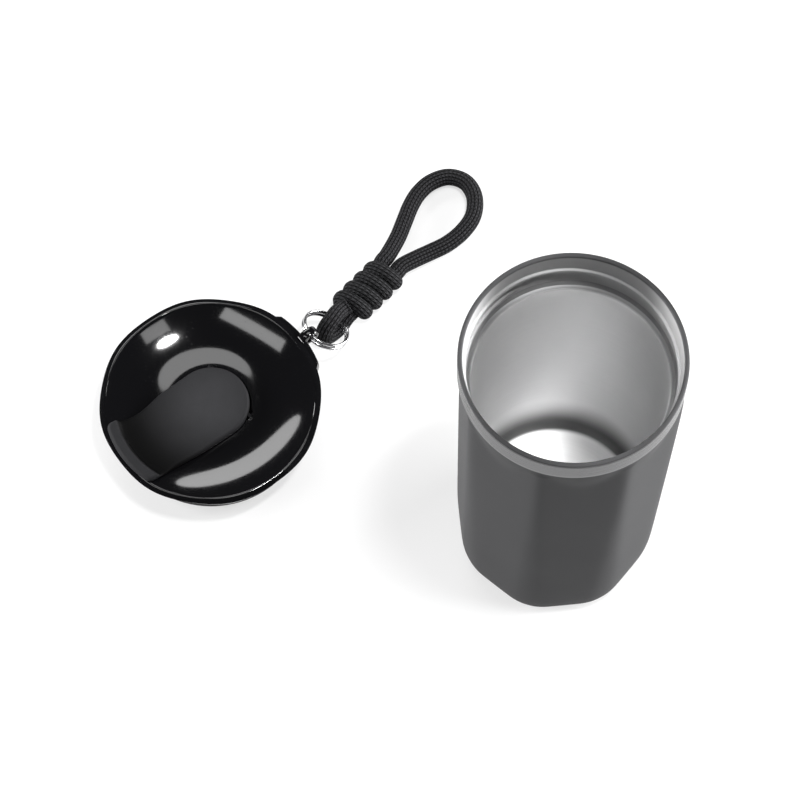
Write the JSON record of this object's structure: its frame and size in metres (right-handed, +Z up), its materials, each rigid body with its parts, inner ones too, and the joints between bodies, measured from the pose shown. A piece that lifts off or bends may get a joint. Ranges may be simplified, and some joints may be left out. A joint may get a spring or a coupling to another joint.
{
  "type": "insulated mug",
  "caption": "Open vacuum-insulated steel mug with an eight-sided body, its screw lid with a flip drinking closure and a corded hand loop lying beside it.",
  "frame": {"origin": "middle of the mug's base, on the table", "axes": "+Z up along the mug's axis; the lid lies towards -X and +Y; +Y points away from the viewer of the picture"},
  "size_m": [0.2168, 0.1911, 0.166],
  "materials": {
    "paint": "satin",
    "steel": "brushed",
    "foil": "bright",
    "solder_glass": "gloss",
    "getter_alloy": "matt",
    "gloss_black": "gloss",
    "satin_black": "satin",
    "silicone": "matt",
    "chrome": "polished",
    "braid": "braided"
  },
  "bodies": {
    "mug": {"outer_shell": "paint", "inner_liner": "steel", "radiation_foil": "foil", "vacuum_closure": "steel", "seal_bead": "solder_glass", "getter": "getter_alloy", "base_plate": "steel"},
    "lid": {"lid_shell": "gloss_black", "lid_plug": "satin_black", "lid_plate": "satin_black", "lid_seal": "silicone", "flip_pin": "steel"},
    "flip": {"flip_cover": "satin_black", "sip_stopper": "silicone", "vent_stopper": "silicone"},
    "ring": {"split_ring": "chrome"},
    "lanyard": {"lanyard_bight": "braid", "lanyard_knot": "braid", "lanyard_core": "braid", "lanyard_loop": "braid"}
  },
  "joints": [
    {"name": "lid_lift", "type": "slide", "parent": "mug", "child": "lid", "axis": [0, 0, 1], "range_m": [0, 0.18]},
    {"name": "flip_hinge", "type": "hinge", "parent": "lid", "child": "flip", "pos_m": [-0.12621, 0.04825, 0.0168], "axis": [-0.5962, 0.8028, 0], "range_deg": [0, 110]},
    {"name": "ring_swing", "type": "hinge", "parent": "lid", "child": "ring", "pos_m": [-0.0953, 0.0712, 0.0195], "axis": [0.5962, -0.8028, 0], "range_deg": [0, 75]},
    {"name": "lanyard_swing", "type": "hinge", "parent": "ring", "child": "lanyard", "pos_m": [-0.08446, 0.0819, 0.00939], "axis": [0.7202, -0.6762, -0.155], "range_deg": [0, 25]}
  ]
}
